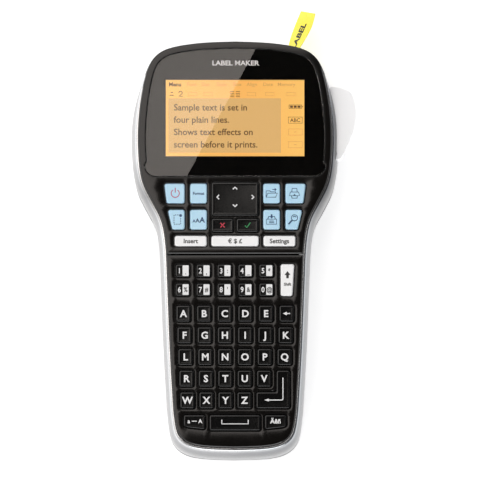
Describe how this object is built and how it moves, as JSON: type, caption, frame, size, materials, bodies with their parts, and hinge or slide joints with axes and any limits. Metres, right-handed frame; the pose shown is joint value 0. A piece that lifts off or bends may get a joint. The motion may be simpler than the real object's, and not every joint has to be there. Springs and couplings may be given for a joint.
{
  "type": "label maker",
  "caption": "Handheld label maker with a wide display head, narrow keyboard grip, bright side band, cutter lever and printed tape leaving the top end.",
  "frame": {"origin": "on the flat back of the head, on the mid line, where the label maker rests on a table", "axes": "+X across the face to the side with the cutter lever, +Y along the body from the tail to the tape exit, +Z out of the face"},
  "size_m": [0.1168, 0.235, 0.0485],
  "materials": {
    "dark_plastic": "satin",
    "silver_band": "polished",
    "black_gloss": "polished",
    "lens": "polished",
    "lcd": "satin",
    "white_plastic": "satin",
    "board": "satin",
    "rubber": "matte",
    "steel": "brushed",
    "brass": "polished",
    "ceramic": "matte",
    "lever_plastic": "satin",
    "cassette_plastic": "satin",
    "label_tape": "satin",
    "battery": "satin",
    "blue_keys": "satin",
    "white_keys": "satin",
    "black_keys": "satin"
  },
  "bodies": {
    "casing": {"rear_housing": "dark_plastic", "side_band": "silver_band", "end_cap": "dark_plastic", "head_face": "black_gloss", "keypad_face": "black_gloss", "display_lens": "lens", "lcd_panel": "lcd", "lcd_holder": "white_plastic", "main_board": "board", "keypad_board": "board", "key_mat": "rubber", "chassis_plate": "steel", "feed_motor": "steel", "print_head": "ceramic", "lever_pin": "steel", "lever_spring": "steel", "cassette_case": "cassette_plastic", "cassette_lid": "cassette_plastic", "label_tape": "label_tape", "battery_pack": "battery", "battery_contacts": "brass", "case_screws": "steel"},
    "pinion": {"motor_pinion": "brass"},
    "idler": {"idler_gear": "white_plastic"},
    "platen": {"platen_gear": "white_plastic", "platen_roller": "rubber"},
    "takeup": {"takeup_gear": "white_plastic", "takeup_spool": "dark_plastic"},
    "ribbon_reel": {"ribbon_supply": "dark_plastic"},
    "tape_reel": {"tape_roll": "label_tape"},
    "lever": {"cutter_lever": "lever_plastic"},
    "blade": {"cutter_blade": "steel"},
    "cassette_cover": {"cassette_door": "dark_plastic"},
    "battery_cover": {"battery_door": "dark_plastic"},
    "key_power": {"key_power": "blue_keys"},
    "key_format": {"key_format": "blue_keys"},
    "key_new_label": {"key_new_label": "blue_keys"},
    "key_text_size": {"key_text_size": "blue_keys"},
    "key_open": {"key_open": "blue_keys"},
    "key_print": {"key_print": "blue_keys"},
    "key_save": {"key_save": "blue_keys"},
    "key_preview": {"key_preview": "blue_keys"},
    "key_nav_pad": {"key_nav_pad": "black_keys"},
    "key_cancel": {"key_cancel": "black_keys"},
    "key_ok": {"key_ok": "black_keys"},
    "key_insert": {"key_insert": "white_keys"},
    "key_currency": {"key_currency": "white_keys"},
    "key_settings": {"key_settings": "white_keys"},
    "key_shift": {"key_shift": "white_keys"},
    "key_enter": {"key_enter": "black_keys"},
    "key_caps": {"key_caps": "black_keys"},
    "key_space": {"key_space": "black_keys"},
    "key_accent": {"key_accent": "black_keys"},
    "keys_one_five": {"keys_one_five": "black_keys"},
    "keys_six_zero": {"keys_six_zero": "black_keys"},
    "keys_a_e": {"keys_a_e": "black_keys"},
    "keys_f_k": {"keys_f_k": "black_keys"},
    "keys_l_q": {"keys_l_q": "black_keys"},
    "keys_r_v": {"keys_r_v": "black_keys"},
    "keys_w_z": {"keys_w_z": "black_keys"}
  },
  "joints": [
    {"name": "key_power_press", "type": "slide", "parent": "casing", "child": "key_power", "axis": [0, 0, -1], "range_m": [0, 0.0008], "stiffness_N_per_m": 400, "springref_m": -0.0008},
    {"name": "key_format_press", "type": "slide", "parent": "casing", "child": "key_format", "axis": [0, 0, -1], "range_m": [0, 0.0008], "stiffness_N_per_m": 400, "springref_m": -0.0008},
    {"name": "key_new_label_press", "type": "slide", "parent": "casing", "child": "key_new_label", "axis": [0, 0, -1], "range_m": [0, 0.0008], "stiffness_N_per_m": 400, "springref_m": -0.0008},
    {"name": "key_text_size_press", "type": "slide", "parent": "casing", "child": "key_text_size", "axis": [0, 0, -1], "range_m": [0, 0.0008], "stiffness_N_per_m": 400, "springref_m": -0.0008},
    {"name": "key_open_press", "type": "slide", "parent": "casing", "child": "key_open", "axis": [0, 0, -1], "range_m": [0, 0.0008], "stiffness_N_per_m": 400, "springref_m": -0.0008},
    {"name": "key_print_press", "type": "slide", "parent": "casing", "child": "key_print", "axis": [0, 0, -1], "range_m": [0, 0.0008], "stiffness_N_per_m": 400, "springref_m": -0.0008},
    {"name": "key_save_press", "type": "slide", "parent": "casing", "child": "key_save", "axis": [0, 0, -1], "range_m": [0, 0.0008], "stiffness_N_per_m": 400, "springref_m": -0.0008},
    {"name": "key_preview_press", "type": "slide", "parent": "casing", "child": "key_preview", "axis": [0, 0, -1], "range_m": [0, 0.0008], "stiffness_N_per_m": 400, "springref_m": -0.0008},
    {"name": "key_nav_pad_press", "type": "slide", "parent": "casing", "child": "key_nav_pad", "axis": [0, 0, -1], "range_m": [0, 0.0008], "stiffness_N_per_m": 400, "springref_m": -0.0008},
    {"name": "key_cancel_press", "type": "slide", "parent": "casing", "child": "key_cancel", "axis": [0, 0, -1], "range_m": [0, 0.0008], "stiffness_N_per_m": 400, "springref_m": -0.0008},
    {"name": "key_ok_press", "type": "slide", "parent": "casing", "child": "key_ok", "axis": [0, 0, -1], "range_m": [0, 0.0008], "stiffness_N_per_m": 400, "springref_m": -0.0008},
    {"name": "key_insert_press", "type": "slide", "parent": "casing", "child": "key_insert", "axis": [0, 0, -1], "range_m": [0, 0.0008], "stiffness_N_per_m": 400, "springref_m": -0.0008},
    {"name": "key_currency_press", "type": "slide", "parent": "casing", "child": "key_currency", "axis": [0, 0, -1], "range_m": [0, 0.0008], "stiffness_N_per_m": 400, "springref_m": -0.0008},
    {"name": "key_settings_press", "type": "slide", "parent": "casing", "child": "key_settings", "axis": [0, 0, -1], "range_m": [0, 0.0008], "stiffness_N_per_m": 400, "springref_m": -0.0008},
    {"name": "key_shift_press", "type": "slide", "parent": "casing", "child": "key_shift", "axis": [0, 0, -1], "range_m": [0, 0.0008], "stiffness_N_per_m": 400, "springref_m": -0.0008},
    {"name": "key_enter_press", "type": "slide", "parent": "casing", "child": "key_enter", "axis": [0, 0, -1], "range_m": [0, 0.0008], "stiffness_N_per_m": 400, "springref_m": -0.0008},
    {"name": "key_caps_press", "type": "slide", "parent": "casing", "child": "key_caps", "axis": [0, 0, -1], "range_m": [0, 0.0008], "stiffness_N_per_m": 400, "springref_m": -0.0008},
    {"name": "key_space_press", "type": "slide", "parent": "casing", "child": "key_space", "axis": [0, 0, -1], "range_m": [0, 0.0008], "stiffness_N_per_m": 400, "springref_m": -0.0008},
    {"name": "key_accent_press", "type": "slide", "parent": "casing", "child": "key_accent", "axis": [0, 0, -1], "range_m": [0, 0.0008], "stiffness_N_per_m": 400, "springref_m": -0.0008},
    {"name": "keys_one_five_press", "type": "slide", "parent": "casing", "child": "keys_one_five", "axis": [0, 0, -1], "range_m": [0, 0.0008], "stiffness_N_per_m": 2000, "springref_m": -0.0008},
    {"name": "keys_six_zero_press", "type": "slide", "parent": "casing", "child": "keys_six_zero", "axis": [0, 0, -1], "range_m": [0, 0.0008], "stiffness_N_per_m": 2000, "springref_m": -0.0008},
    {"name": "keys_a_e_press", "type": "slide", "parent": "casing", "child": "keys_a_e", "axis": [0, 0, -1], "range_m": [0, 0.0008], "stiffness_N_per_m": 2400, "springref_m": -0.0008},
    {"name": "keys_f_k_press", "type": "slide", "parent": "casing", "child": "keys_f_k", "axis": [0, 0, -1], "range_m": [0, 0.0008], "stiffness_N_per_m": 2400, "springref_m": -0.0008},
    {"name": "keys_l_q_press", "type": "slide", "parent": "casing", "child": "keys_l_q", "axis": [0, 0, -1], "range_m": [0, 0.0008], "stiffness_N_per_m": 2400, "springref_m": -0.0008},
    {"name": "keys_r_v_press", "type": "slide", "parent": "casing", "child": "keys_r_v", "axis": [0, 0, -1], "range_m": [0, 0.0008], "stiffness_N_per_m": 2000, "springref_m": -0.0008},
    {"name": "keys_w_z_press", "type": "slide", "parent": "casing", "child": "keys_w_z", "axis": [0, 0, -1], "range_m": [0, 0.0008], "stiffness_N_per_m": 1600, "springref_m": -0.0008},
    {"name": "platen_spin", "type": "hinge", "parent": "casing", "child": "platen", "pos_m": [0.03, 0.022, 0.028], "axis": [0, 0, 1], "continuous": true},
    {"name": "idler_spin", "type": "hinge", "parent": "casing", "child": "idler", "pos_m": [0.0346, 0.0015, 0.028], "axis": [0, 0, 1], "continuous": true},
    {"name": "pinion_spin", "type": "hinge", "parent": "casing", "child": "pinion", "pos_m": [0.038, -0.0137, 0.028], "axis": [0, 0, 1], "continuous": true},
    {"name": "takeup_spin", "type": "hinge", "parent": "casing", "child": "takeup", "pos_m": [0.00994, 0.01398, 0.028], "axis": [0, 0, 1], "continuous": true},
    {"name": "tape_reel_spin", "type": "hinge", "parent": "casing", "child": "tape_reel", "pos_m": [-0.018, 0.009, 0.028], "axis": [0, 0, 1], "continuous": true},
    {"name": "ribbon_reel_spin", "type": "hinge", "parent": "casing", "child": "ribbon_reel", "pos_m": [0.011, -0.006, 0.028], "axis": [0, 0, 1], "continuous": true},
    {"name": "lever_swing", "type": "hinge", "parent": "casing", "child": "lever", "pos_m": [0.0506, -0.008, 0.03], "axis": [0, 0, 1], "range_deg": [0, 9], "stiffness_Nm_per_rad": 0.6, "springref_deg": -5.73},
    {"name": "blade_slide", "type": "slide", "parent": "casing", "child": "blade", "axis": [-1, 0, 0], "range_m": [0, 0.00683]},
    {"name": "cassette_cover_hinge", "type": "hinge", "parent": "casing", "child": "cassette_cover", "pos_m": [0, -0.018, 0.0016], "axis": [-1, 0, 0], "range_deg": [0, 95]},
    {"name": "battery_cover_hinge", "type": "hinge", "parent": "casing", "child": "battery_cover", "pos_m": [0, -0.1164, 0.0146], "axis": [-1, 0, 0], "range_deg": [0, 95]}
  ],
  "couplings": [
    {"joint": "idler_spin", "follows": "platen_spin", "ratio": -0.75},
    {"joint": "pinion_spin", "follows": "platen_spin", "ratio": 2.5},
    {"joint": "takeup_spin", "follows": "platen_spin", "ratio": -0.71429},
    {"joint": "tape_reel_spin", "follows": "platen_spin", "ratio": -0.23529},
    {"joint": "ribbon_reel_spin", "follows": "platen_spin", "ratio": -0.61538},
    {"joint": "blade_slide", "follows": "lever_swing", "m_per_rad": 0.043481}
  ]
}
